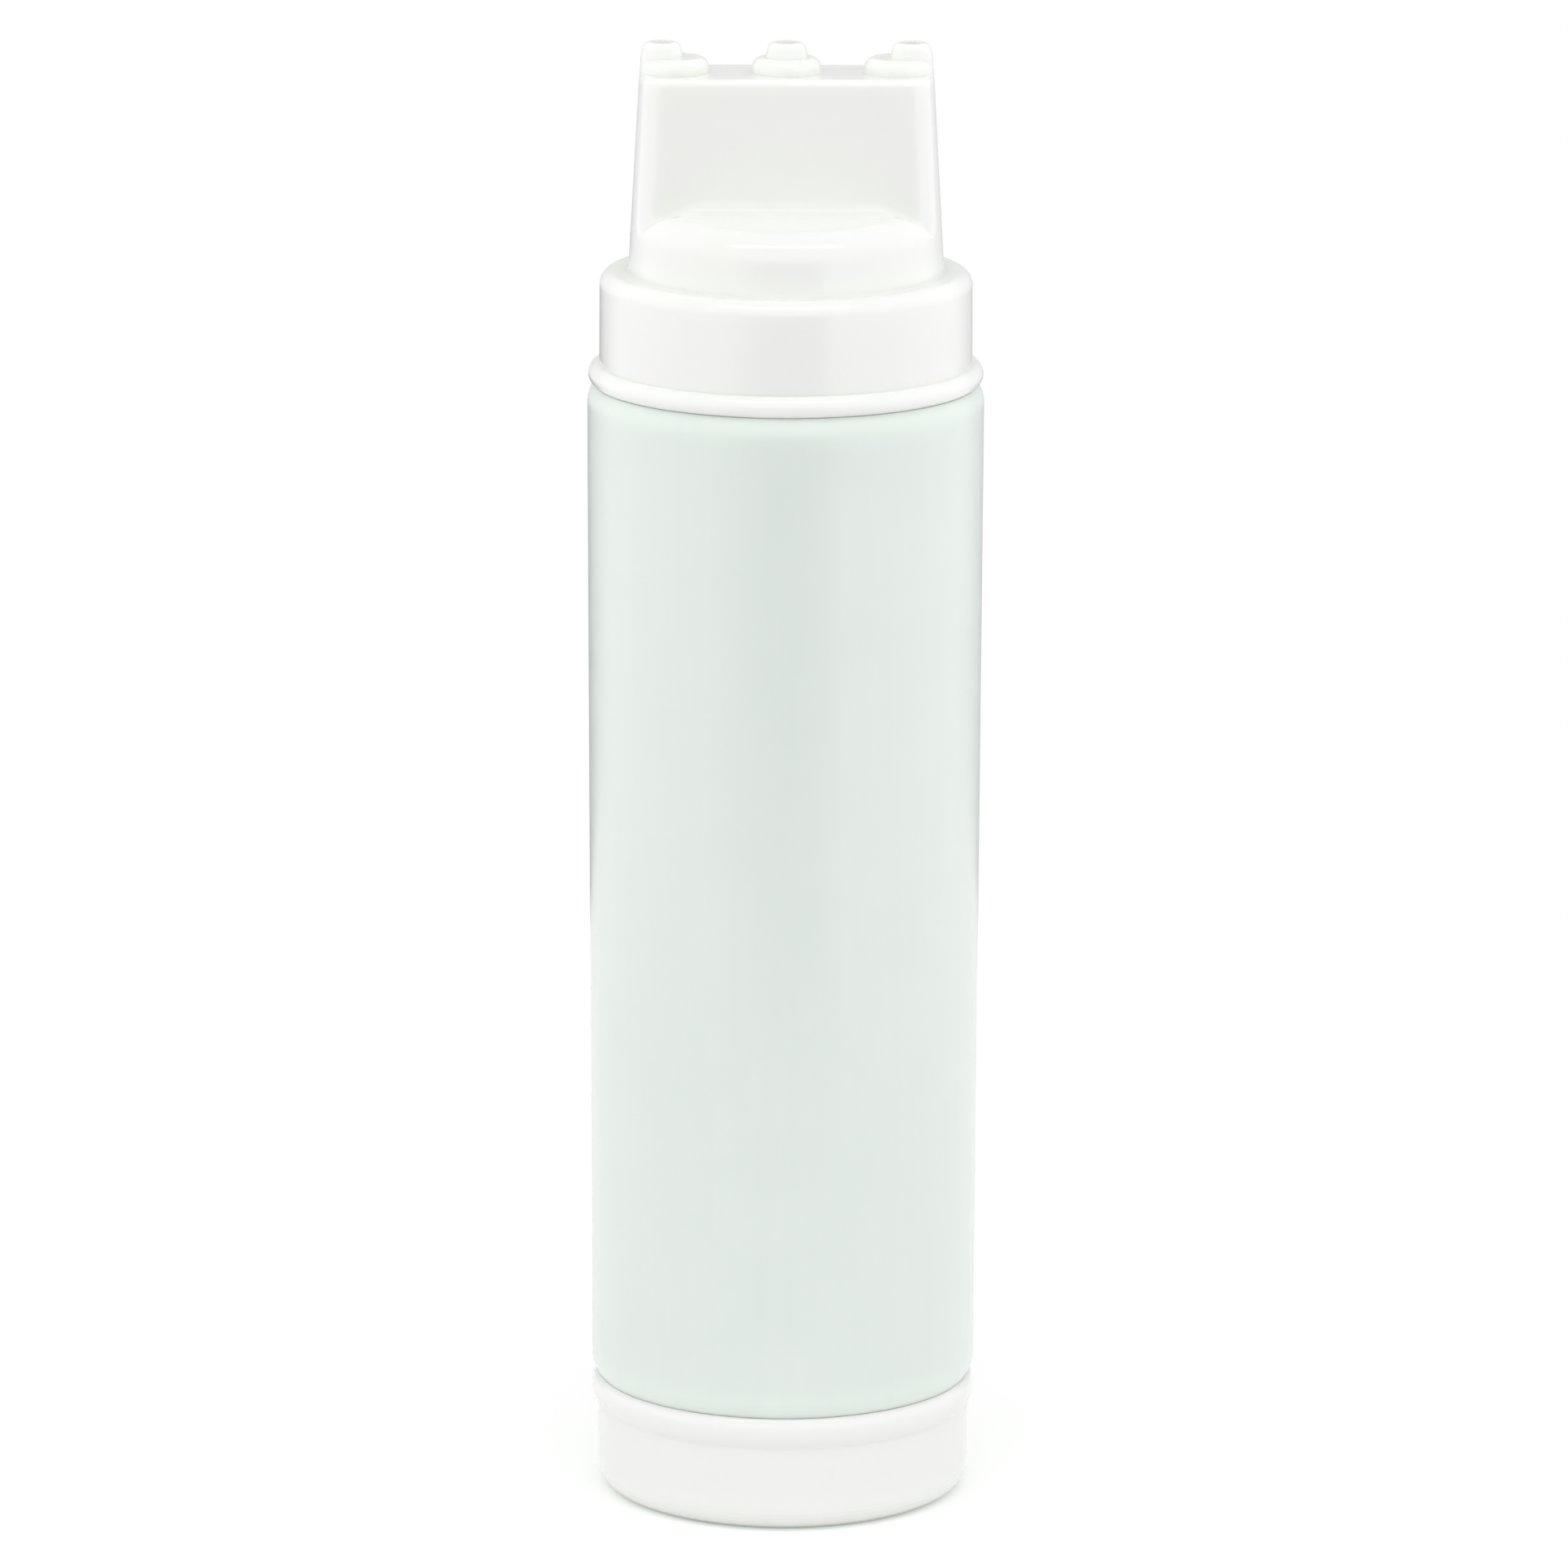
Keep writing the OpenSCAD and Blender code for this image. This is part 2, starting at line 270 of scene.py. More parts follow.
def settle(piece: Object) -> None:
    """Turns a piece with its modifiers into a plain mesh and removes them.

    Args:
        piece: The piece, changed in place.
    """
    graph = bpy.context.evaluated_depsgraph_get()
    piece.data = bpy.data.meshes.new_from_object(piece.evaluated_get(graph), depsgraph=graph)
    piece.modifiers.clear()


class Cut(Enum):
    """How one closed mesh acts on another."""

    ADD = "UNION"
    REMOVE = "DIFFERENCE"


def combine(piece: Object, tool: Object, cut: Cut) -> None:
    """Adds one closed mesh to another or cuts it out, and removes the tool.

    Args:
        piece: The mesh that is kept, changed in place.
        tool: The mesh that acts on it.
        cut: Whether the tool is added or removed.
    """
    step = piece.modifiers.new("combine", "BOOLEAN")
    step.operation = cut.value
    step.solver = "MANIFOLD"
    step.object = tool
    settle(piece)
    bpy.data.objects.remove(tool)


def smooth(piece: Object, sharp_angle: float = 34) -> None:
    """Shades a piece smooth, except at edges sharper than an angle in degrees."""
    piece.data.shade_smooth()
    piece.data.set_sharp_from_angle(angle=math.radians(sharp_angle))


@dataclass(frozen=True)
class ShapeTree:
    """A geometry node tree with named inputs, and the means to run it once on a new object."""

    tree: Tree

    def run(self, name: str, values: dict[str, object]) -> Object:
        """Evaluates the tree and returns its result as a plain mesh object.

        Args:
            name: Name of the new object.
            values: Value of each named input.

        Returns:
            The new object.
        """
        piece = new_object(name, bpy.data.meshes.new(name))
        step = piece.modifiers.new("shape", "NODES")
        step.node_group = self.tree
        for item in self.tree.interface.items_tree:
            if item.in_out == "INPUT" and item.name in values:
                step[item.identifier] = values[item.name]
        settle(piece)
        clean(piece.data)
        return piece


def start_tree(name: str, inputs: list[tuple[str, str, object]]) -> tuple[Tree, Node, Node]:
    """Makes an empty geometry node tree with its inputs and output.

    Args:
        name: Name of the tree.
        inputs: Name, socket type and default of each input.

    Returns:
        The tree, its input node and its output node.
    """
    tree = bpy.data.node_groups.new(name, "GeometryNodeTree")
    for label, kind, value in inputs:
        socket = tree.interface.new_socket(name=label, in_out="INPUT", socket_type=kind)
        if value is not None:
            socket.default_value = value
    tree.interface.new_socket(name="Mesh", in_out="OUTPUT", socket_type="NodeSocketGeometry")
    return tree, tree.nodes.new("NodeGroupInput"), tree.nodes.new("NodeGroupOutput")


def feed(tree: Tree, node: Node, values: dict[str | int, object]) -> None:
    """Sets or links the named inputs of a node.

    Args:
        tree: The tree that holds the node.
        node: The node.
        values: For each input, a plain value or the output socket that feeds it.
    """
    for label, value in values.items():
        socket = node.inputs[label]
        if isinstance(value, Socket):
            tree.links.new(value, socket)
        else:
            socket.default_value = value


def add(tree: Tree, kind: str, values: dict[str | int, object]) -> Node:
    """Adds a node and sets or links its named inputs.

    Args:
        tree: The tree to add it to.
        kind: The node's type.
        values: For each input, a plain value or the output socket that feeds it.

    Returns:
        The node.
    """
    node = tree.nodes.new(kind)
    feed(tree, node, values)
    return node


def reckon(tree: Tree, operation: str, first: object, second: object = 0.0) -> Socket:
    """Adds a math node.

    Args:
        tree: The tree to add it to.
        operation: The node's operation.
        first: First value or socket.
        second: Second value or socket.

    Returns:
        The node's output.
    """
    node = add(tree, "ShaderNodeMath", {0: first, 1: second})
    node.operation = operation
    return node.outputs[0]


def ramp(tree: Tree, value: Socket, low: float, high: float) -> Socket:
    """Adds a smooth step from 0 to 1.

    Args:
        tree: The tree to add it to.
        value: The value on which the step depends.
        low: Value at which the step starts.
        high: Value at which the step is full, above or below the first.

    Returns:
        The step's socket.
    """
    node = add(tree, "ShaderNodeMapRange", {
        "Value": value, "From Min": low, "From Max": high, "To Min": 0.0, "To Max": 1.0})
    node.interpolation_type = "SMOOTHSTEP"
    return node.outputs["Result"]


def finish_tree(tree: Tree, mesh: Socket, given: Node, result: Node) -> None:
    """Ends a tree in Realize Instances and Set Material.

    Args:
        tree: The tree.
        mesh: The socket that carries the shape.
        given: The tree's input node, with a Finish input.
        result: The tree's output node.
    """
    real = add(tree, "GeometryNodeRealizeInstances", {"Geometry": mesh})
    coat = add(tree, "GeometryNodeSetMaterial", {
        "Geometry": real.outputs["Geometry"], "Material": given.outputs["Finish"]})
    tree.links.new(coat.outputs["Geometry"], result.inputs["Mesh"])


def thread_tree() -> ShapeTree:
    """Builds the tree that winds one screw ridge round the axis, its ends run out to nothing.

    Returns:
        The tree, whose inputs are the ridge's sizes.
    """
    tree, given, result = start_tree("screw_ridge", [
        ("Radius", "NodeSocketFloat", 0.03), ("Pitch", "NodeSocketFloat", 0.005),
        ("Turns", "NodeSocketFloat", 1.0), ("Start Height", "NodeSocketFloat", 0.0),
        ("Start Angle", "NodeSocketFloat", 0.0), ("Sunk", "NodeSocketFloat", 0.0005),
        ("Depth", "NodeSocketFloat", 0.001), ("Crest", "NodeSocketFloat", 0.001),
        ("Foot", "NodeSocketFloat", 0.002), ("Run Out", "NodeSocketFloat", 0.08),
        ("Thinnest", "NodeSocketFloat", 0.02), ("Points", "NodeSocketInt", 160),
        ("Finish", "NodeSocketMaterial", None)])
    size = given.outputs
    height = reckon(tree, "MULTIPLY", size["Pitch"], size["Turns"])
    path = add(tree, "GeometryNodeCurveSpiral", {
        "Resolution": size["Points"], "Rotations": size["Turns"],
        "Start Radius": size["Radius"], "End Radius": size["Radius"], "Height": height})
    lift = add(tree, "ShaderNodeCombineXYZ", {"Z": size["Start Height"]})
    swing = add(tree, "ShaderNodeCombineXYZ", {"Z": size["Start Angle"]})
    place = add(tree, "GeometryNodeTransform", {
        "Geometry": path.outputs["Curve"], "Translation": lift.outputs[0],
        "Rotation": swing.outputs[0]})
    level = add(tree, "GeometryNodeSetCurveNormal", {"Curve": place.outputs["Geometry"]})
    level.mode = "Z_UP"

    along = tree.nodes.new("GeometryNodeSplineParameter").outputs["Factor"]
    near = reckon(tree, "MINIMUM", along, reckon(tree, "SUBTRACT", 1.0, along))
    swell = reckon(tree, "MINIMUM", reckon(tree, "DIVIDE", near, size["Run Out"]), 1.0)
    grow = add(tree, "GeometryNodeSetCurveRadius", {
        "Curve": level.outputs["Curve"],
        "Radius": reckon(tree, "MAXIMUM", swell, size["Thinnest"])})

    across = tree.nodes.new("GeometryNodeCurvePrimitiveQuadrilateral")
    across.mode = "TRAPEZOID"
    feed(tree, across, {
        "Height": reckon(tree, "ADD", size["Depth"], size["Sunk"]),
        "Bottom Width": size["Foot"], "Top Width": size["Crest"], "Offset": 0.0})
    middle = reckon(tree, "MULTIPLY", reckon(tree, "SUBTRACT", size["Depth"], size["Sunk"]), 0.5)
    shift = add(tree, "ShaderNodeCombineXYZ", {"X": middle})
    stand = add(tree, "GeometryNodeTransform", {
        "Geometry": across.outputs["Curve"], "Rotation": (0.0, 0.0, -math.pi / 2),
        "Translation": shift.outputs[0]})
    sweep = add(tree, "GeometryNodeCurveToMesh", {
        "Curve": grow.outputs["Curve"], "Profile Curve": stand.outputs["Geometry"],
        "Fill Caps": True})
    finish_tree(tree, sweep.outputs["Mesh"], given, result)
    return ShapeTree(tree)


def row_tree() -> ShapeTree:
    """Builds the tree that repeats one shape along a straight row centred on the axis.

    Returns:
        The tree, whose inputs are the shape, how often it stands in the row and the spacing.
    """
    tree, given, result = start_tree("row_of_shapes", [
        ("Shape", "NodeSocketObject", None), ("Count", "NodeSocketInt", 3),
        ("Spacing", "NodeSocketFloat", 0.02), ("Finish", "NodeSocketMaterial", None)])
    size = given.outputs
    shape = add(tree, "GeometryNodeObjectInfo", {"Object": size["Shape"], "As Instance": True})
    gaps = reckon(tree, "SUBTRACT", size["Count"], 1.0)
    half = reckon(tree, "MULTIPLY", reckon(tree, "MULTIPLY", gaps, size["Spacing"]), -0.5)
    start = add(tree, "ShaderNodeCombineXYZ", {"X": half})
    step = add(tree, "ShaderNodeCombineXYZ", {"X": size["Spacing"]})
    line = add(tree, "GeometryNodeMeshLine", {
        "Count": size["Count"], "Start Location": start.outputs[0], "Offset": step.outputs[0]})
    repeat = add(tree, "GeometryNodeInstanceOnPoints", {
        "Points": line.outputs["Mesh"], "Instance": shape.outputs["Geometry"]})
    finish_tree(tree, repeat.outputs["Instances"], given, result)
    return ShapeTree(tree)


@dataclass(frozen=True)
class Plastic:
    """A moulded plastic or rubber through which some light scatters."""

    name: str
    colour: Colour
    roughness: float
    scatter: float
    scatter_tint: Colour = (1.0, 1.0, 0.96)
    refraction: float = 1.51
    patchy: float = 0.03
    patch_size: float = 5 * MM
    clouding: float = 0.012
    cloud_size: float = 18 * MM
    grain_size: float = 0.7 * MM
    grain_depth: float = 0.004 * MM
    flow_lines: float = 0.0
    flow_size: float = 2.4 * MM
    flow_stretch: float = 0.05
    flow_relief: float = 40.0
    coarse_detail: float = 2.0
    fine_detail: float = 3.0
    noise_span: tuple[float, float] = (0.25, 0.75)

    def material(self) -> bpy.types.Material:
        """Builds the node material.

        Returns:
            The material, with its patterns on Object coordinates.
        """
        made = bpy.data.materials.new(self.name)
        made.use_nodes = True
        tree = made.node_tree
        shader = tree.nodes["Principled BSDF"]
        shader.subsurface_method = "RANDOM_WALK"
        feed(tree, shader, {"IOR": self.refraction, "Subsurface Weight": 1.0,
                            "Subsurface Radius": self.scatter_tint,
                            "Subsurface Scale": self.scatter})
        place = tree.nodes.new("ShaderNodeTexCoord").outputs["Object"]
        stretch = add(tree, "ShaderNodeMapping", {
            "Vector": place, "Scale": (1.0, 1.0, self.flow_stretch)})
        cloud = self.noise(tree, place, self.cloud_size, self.coarse_detail)
        flow = self.noise(tree, stretch.outputs["Vector"], self.flow_size, self.fine_detail)
        patch = self.noise(tree, place, self.patch_size, self.fine_detail)
        grain = self.noise(tree, place, self.grain_size, self.coarse_detail)
        shade = reckon(tree, "ADD", self.ranged(tree, cloud, 1 - self.clouding, 1 + self.clouding),
                       self.ranged(tree, flow, -self.flow_lines, self.flow_lines))
        tint = tree.nodes.new("ShaderNodeVectorMath")
        tint.operation = "SCALE"
        feed(tree, tint, {0: self.colour, "Scale": shade})
        lines = reckon(tree, "MULTIPLY", flow, self.flow_lines * self.flow_relief)
        skin = add(tree, "ShaderNodeBump", {
            "Height": reckon(tree, "ADD", grain, lines), "Distance": self.grain_depth})
        rough = self.ranged(tree, patch, self.roughness - self.patchy, self.roughness + self.patchy)
        feed(tree, shader, {"Base Color": tint.outputs["Vector"], "Roughness": rough,
                            "Normal": skin.outputs["Normal"]})
        return made

    @staticmethod
    def noise(tree: Tree, place: Socket, size: float, detail: float) -> Socket:
        """Adds a noise texture whose blobs have a real size.

        Args:
            tree: The material's tree.
            place: The coordinates.
            size: Size of a blob.
            detail: Number of finer layers.

        Returns:
            The noise value.
        """
        node = add(tree, "ShaderNodeTexNoise", {
            "Vector": place, "Scale": 1 / size, "Detail": detail})
        return node.outputs["Fac"]

    def ranged(self, tree: Tree, value: Socket, low: float, high: float) -> Socket:
        """Maps a noise value to a range.

        Args:
            tree: The material's tree.
            value: The noise value.
            low: Result at the low end of the noise's span.
            high: Result at its high end.

        Returns:
            The mapped value.
        """
        first, last = self.noise_span
        node = add(tree, "ShaderNodeMapRange", {
            "Value": value, "From Min": first, "From Max": last, "To Min": low, "To Max": high})
        return node.outputs["Result"]


class Finish(Enum):
    """The finishes of the bottle's pieces, each named by its slot in the record."""

    BODY = Plastic("body_ldpe", (0.81, 0.878, 0.828), roughness=0.23, scatter=1.5 * MM,
                   flow_lines=0.006)
    CAP = Plastic("cap_ldpe", (0.925, 0.998, 0.90), roughness=0.14, scatter=1.2 * MM)
    SEAL = Plastic("seal_silicone", (0.80, 0.82, 0.80), roughness=0.6, scatter=1.0 * MM,
                   refraction=1.41)


class Dresser:
    """Keeps one material for each finish and dresses pieces with them."""

    def __init__(self) -> None:
        """Builds the materials."""
        self.materials = {finish: finish.value.material() for finish in Finish}

    def dress(self, piece: Object, finish: Finish, body: str, node: str) -> None:
        """Finishes a piece and ties it to the frame.

        Args:
            piece: The piece, in place at rest.
            finish: Its finish.
            body: The body it rides on.
            node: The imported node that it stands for.
        """
        piece.data.materials.clear()
        piece.data.materials.append(self.materials[finish])
        for face in piece.data.polygons:
            face.material_index = 0
        smooth(piece)
        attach(piece, body)
        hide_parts(node)


@dataclass(frozen=True)
class Levels:
    """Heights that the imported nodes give."""

    gap: float = 0.05 * MM

    def foot_seat(self) -> float:
        """Height of the lower seal's seat."""
        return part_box("foot_seal")[0].z

    def foot_rim(self) -> float:
        """Height of the lower neck's rim."""
        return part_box("foot_seal")[1].z

    def foot_open(self) -> float:
        """Height of the refill cap's open end."""
        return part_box("refill_cap")[1].z

    def foot_shoulder(self) -> float:
        """Height of the lower shoulder's flat face."""
        return self.foot_open() + self.gap

    def top_open(self) -> float:
        """Height of the dispensing cap's open end."""
        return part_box("dispensing_cap")[0].z

    def top_shoulder(self) -> float:
        """Height of the upper shoulder's flat face."""
        return self.top_open() - self.gap

    def top_rim(self) -> float:
        """Height of the upper neck's rim."""
        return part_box("top_seal")[0].z

    def top_seat(self) -> float:
        """Height of the upper seal's seat."""
        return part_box("top_seal")[1].z

    def tip_top(self) -> float:
        """Height of the tips."""
        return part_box("dispensing_cap")[1].z


@dataclass(frozen=True)
class ScrewRidge:
    """One single-start, right-hand ridge that stands out from a neck or in from a cap's bore."""

    wall_radius: float
    depth: float
    start_height: float
    inward: bool = False
    start_angle: float = 0.0
    turns: float = 1.25
    pitch: float = 5 * MM
    crest: float = 0.9 * MM
    foot: float = 2.0 * MM
    sunk: float = 0.35 * MM

    def make(self, tree: ShapeTree) -> Object:
        """Winds the ridge.

        Args:
            tree: The tree that winds ridges.

        Returns:
            The ridge as a closed mesh, sunk a little into the wall that carries it.
        """
        out = {"Sunk": self.sunk, "Depth": self.depth, "Crest": self.crest, "Foot": self.foot}
        if self.inward:
            out = {"Sunk": self.depth, "Depth": self.sunk, "Crest": self.foot, "Foot": self.crest}
        return tree.run("ridge", {
            "Radius": self.wall_radius, "Pitch": self.pitch, "Turns": self.turns,
            "Start Height": self.start_height, "Start Angle": self.start_angle, **out})


@dataclass
class BottleBody:
    """The blown body: a tall wall with a rounded shoulder and a screw neck at each end."""

    levels: Levels
    top_radius: float = 34.97 * MM
    foot_radius: float = 34.3 * MM
    wall: float = 1.2 * MM
    shoulder: float = 3.3 * MM
    shoulder_in: float = 1.0 * MM
    shoulder_edge: float = 0.2 * MM
    shoulder_edge_from: float = 30.0
    shoulder_edge_steps: int = 3
    neck_radius: float = 30.2 * MM
    neck_root: float = 0.8 * MM
    mouth_radius: float = 28.5 * MM
    mouth_ease: float = 0.8 * MM
    neck_length: float = 15.2 * MM
    rim_bevel: float = 0.4 * MM
    roll: float = 1.9 * MM
    waist_back: float = 0.1 * MM
    ridge_depth: float = 0.85 * MM
    ridge_from_rim: float = 10.0 * MM
    ridge_at_foot: float = 3.4 * MM

    def outside(self, radius: float) -> Outline:
        """Draws the outside of one end, from the straight wall to the neck's rim.

        Args:
            radius: Radius of the straight wall at that end.

        Returns:
            The outline, with the shoulder's flat face at height 0 and the neck above it.
        """
        bend = (self.shoulder ** 2 + self.shoulder_in ** 2) / (2 * self.shoulder_in)
        angle = math.degrees(math.asin(self.shoulder / bend))
        edge = self.shoulder_edge
        line = Outline().arc(radius - bend, -edge - self.shoulder, bend, OUT, angle)
        line.arc(radius - self.shoulder_in - edge, -edge, edge, self.shoulder_edge_from, UP,
                 self.shoulder_edge_steps)
        line.arc(self.neck_radius + self.neck_root, self.neck_root, self.neck_root, DOWN, IN)
        rim = self.neck_length - self.rim_bevel
        return line.arc(self.neck_radius - self.rim_bevel, rim, self.rim_bevel, OUT, UP)

    def inside(self, radius: float) -> Outline:
        """Draws the inside of one end, from the neck's rim to the straight wall.

        Args:
            radius: Outer radius of the straight wall at that end.

        Returns:
            The outline, in the same place as the outside's.
        """
        waist = radius - self.shoulder_in - self.wall + self.waist_back
        rim = self.neck_length - self.rim_bevel
        line = Outline().arc(self.mouth_radius + self.rim_bevel, rim, self.rim_bevel, UP, IN)
        line.arc(self.mouth_radius + self.mouth_ease, self.mouth_ease - self.wall,
                 self.mouth_ease, IN, DOWN)
        line.arc(waist - self.roll, -self.wall - self.roll, self.roll, UP, OUT)
        return line.to(radius - self.wall, -self.shoulder_edge - self.shoulder - self.wall)

    def build(self, dresser: Dresser, ridges: ShapeTree) -> Object:
        """Builds and dresses the body.

        Args:
            dresser: Gives the finish.
            ridges: The tree that winds screw ridges.

        Returns:
            The finished piece.
        """
        foot = self.levels.foot_shoulder()
        top = self.levels.top_shoulder()
        section = Outline()
        section.join(self.outside(self.foot_radius).placed(foot, -1), True)
        section.join(self.outside(self.top_radius).placed(top, 1))
        section.join(self.inside(self.top_radius).placed(top, 1))
        section.join(self.inside(self.foot_radius).placed(foot, -1), True)
        body = turned("body_shell", section)
        for start in (self.levels.top_rim() - self.ridge_from_rim,
                      self.levels.foot_rim() + self.ridge_at_foot):
            ridge = ScrewRidge(self.neck_radius, self.ridge_depth, start)
            combine(body, ridge.make(ridges), Cut.ADD)
        dresser.dress(body, Finish.BODY, "bottle", "bottle_body")
        return body


@dataclass(frozen=True)
class SpoutForm:
    """The spout's form, outside or inside: a round base that turns over a shelf into a blade."""

    foot_height: float
    top_height: float
    foot_radius: float
    top_radius: float
    blade_height: float
    blade_foot_half: float
    blade_top_half: float
    corner: float = 4.0 * MM
    shelf_fall: float = 1.0 * MM
    base_edge: float = 4.8 * MM
    foot_fillet: float = 0.8 * MM
    blade_fillet: float = 2.4 * MM
    side_edge: float = 1.1 * MM
    end_edge: float = 1.1 * MM
    lead: float = 2.0 * MM
    top_hold: float = 0.15 * MM
    foot_steps: int = 6
    walk_steps: int = 28
    fillet_steps: int = 7
    edge_steps: int = 10
    halvings: int = 40
    blade_shares: tuple[float, ...] = (0.03, 0.2, 0.4, 0.6, 0.8, 0.97)

    def cone(self, height: float | Row) -> float | Row:
        """Returns the radius of the cone on which base and blade lie, at a height."""
        share = (height - self.foot_height) / (self.top_height - self.foot_height)
        return self.foot_radius + (self.top_radius - self.foot_radius) * share

    def half(self, height: float | Row) -> float | Row:
        """Returns half the depth of the blade at a height."""
        share = np.maximum(height - self.blade_height, 0) / (self.top_height - self.blade_height)
        return self.blade_foot_half + (self.blade_top_half - self.blade_foot_half) * share

    def bar(self, angles: Row, height: float | Row, grow: float | Row = 0.0) -> Row:
        """Radius of the blade's section, a bar with round ends and rounded corners.

        Args:
            angles: Angle of each point, in radians.
            height: Height of the section, or of each point.
            grow: Added to the bar's half depth.

        Returns:
            The radius at each angle.
        """
        folded = np.abs((angles + math.pi / 2) % math.pi - math.pi / 2)
        side_in = self.drawn_in(height, self.side_edge)
        radius = self.cone(height) - self.drawn_in(height, self.end_edge)
        depth = self.half(height) + grow - side_in
        corner = self.corner - side_in
        corner_y = depth - corner
        corner_x = np.sqrt((radius - corner) ** 2 - corner_y ** 2)
        along = corner_x * np.cos(folded) + corner_y * np.sin(folded)
        beyond = along ** 2 - corner_x ** 2 - corner_y ** 2 + corner ** 2
        bent = along + np.sqrt(np.maximum(beyond, 0))
        flat = depth / np.maximum(np.sin(folded), TINY)
        return np.where(folded <= np.arctan2(corner_y, corner_x), radius,
                        np.where(folded >= np.arctan2(depth, corner_x), flat, bent))

    def drawn_in(self, height: float | Row, edge: float) -> float | Row:
        """Returns how far a rounded upper edge of some radius has drawn in at a height."""
        up = np.clip(height - self.top_height + edge, 0, edge)
        return edge - np.sqrt(edge ** 2 - up ** 2)

    def shelf(self, angles: Row, reach: Row) -> tuple[Row, Row]:
        """Walks up the base, over its rounded edge and in along the shelf.

        The shelf falls away from the blade's flat sides, so its crease with them is level.

        Args:
            angles: Angle of each point, in radians.
            reach: Distance walked at each angle.

        Returns:
            Radius and height at each angle.
        """
        depth = np.abs(np.sin(angles))
        half = self.blade_foot_half
        inner = self.cone(self.blade_height - self.base_edge) - self.base_edge
        turn = np.clip((reach - self.lead) / self.base_edge, 0, math.pi / 2)
        flat = np.maximum(reach - self.lead - self.base_edge * math.pi / 2, 0)
        low = np.minimum(reach - self.lead, 0)
        fall = self.shelf_fall * np.clip(((inner - flat) * depth - half) / (inner - half), 0, 1)
        edge = self.blade_height - self.base_edge - fall
        inner = self.cone(edge) - self.base_edge
        radius = np.where(reach < self.lead, self.cone(edge + low),
                          inner + self.base_edge * np.cos(turn) - flat)
        return radius, edge + low + self.base_edge * np.sin(turn)

    def walk_to_blade(self, angles: Row) -> Row:
        """Finds how far shelf() walks before it meets the foot of the blade's fillet.

        Args:
            angles: Angle of each point, in radians.

        Returns:
            The distance walked at each angle.
        """
        low = np.zeros_like(angles)
        farthest = self.lead + self.base_edge * math.pi / 2 + self.cone(self.foot_height)
        high = np.full_like(angles, farthest)
        for _ in range(self.halvings):
            middle = (low + high) / 2
            radius, height = self.shelf(angles, middle)
            outside = radius > self.bar(angles, height, self.blade_fillet)
            low, high = np.where(outside, middle, low), np.where(outside, high, middle)
        return np.maximum(high, self.lead)

    def rows(self, angles: Row) -> list[Row]:
        """Lays the rows of the form from its foot to its top.

        Args:
            angles: Angle of each point, in radians.

        Returns:
            The rows, with the last one just inside the top's edge.
        """
        made = []
        if self.foot_fillet:
            for angle in quarter(self.foot_steps):
                height = self.foot_height + self.foot_fillet * (1 - math.cos(angle))
                radius = self.cone(height) + self.foot_fillet * (1 - math.sin(angle))
                made.append(row_at(angles, radius, height))
        else:
            made.append(row_at(angles, self.cone(self.foot_height), self.foot_height))
        walk = self.walk_to_blade(angles)
        for share in np.linspace(0, 1, self.walk_steps + 1):
            made.append(row_at(angles, *self.shelf(angles, walk * share)))
        _, meet = self.shelf(angles, walk)
        for angle in quarter(self.fillet_steps)[1:]:
            height = meet + self.blade_fillet * (1 - math.cos(angle))
            grow = self.blade_fillet * (1 - math.sin(angle))
            made.append(row_at(angles, self.bar(angles, height, grow), height))
        edge = max(self.side_edge, self.end_edge)
        low = meet + self.blade_fillet
        high = self.top_height - edge
        levels = [low + (high - low) * share for share in self.blade_shares]
        levels += [high + edge * math.sin(angle) for angle in quarter(self.edge_steps)]
        made += [row_at(angles, self.bar(angles, height), height) for height in levels]
        hold = self.bar(angles, self.top_height) - self.top_hold
        made.append(row_at(angles, hold, self.top_height))
        return made


@dataclass(frozen=True)
class StubRow:
    """One row of round stubs with rounded upper edges, added to the cap or cut out of it."""

    spacing: float
    foot_radius: float
    top_radius: float
    low: float
    high: float
    edge: float
    cut: Cut
    count: int = 3
    root: float = 1.0 * MM
    core: float = 0.3 * MM

    def work_into(self, cap: Object, rows: ShapeTree) -> None:
        """Makes one stub, repeats it along the row and works it into the cap.

        Args:
            cap: The cap.
            rows: The tree that repeats a shape in a row.
        """
        line = Outline().to(self.core, self.low).to(self.foot_radius, self.low)
        line.to(self.foot_radius, self.low + self.root)
        line.arc(self.top_radius - self.edge, self.high - self.edge, self.edge, OUT, UP)
        line.to(self.core, self.high)
        stub = turned("stub", line, ring=False, angles=even_angles(STUB_SEGMENTS))
        row = rows.run("stubs", {"Shape": stub, "Count": self.count, "Spacing": self.spacing})
        bpy.data.objects.remove(stub)
        combine(cap, row, self.cut)


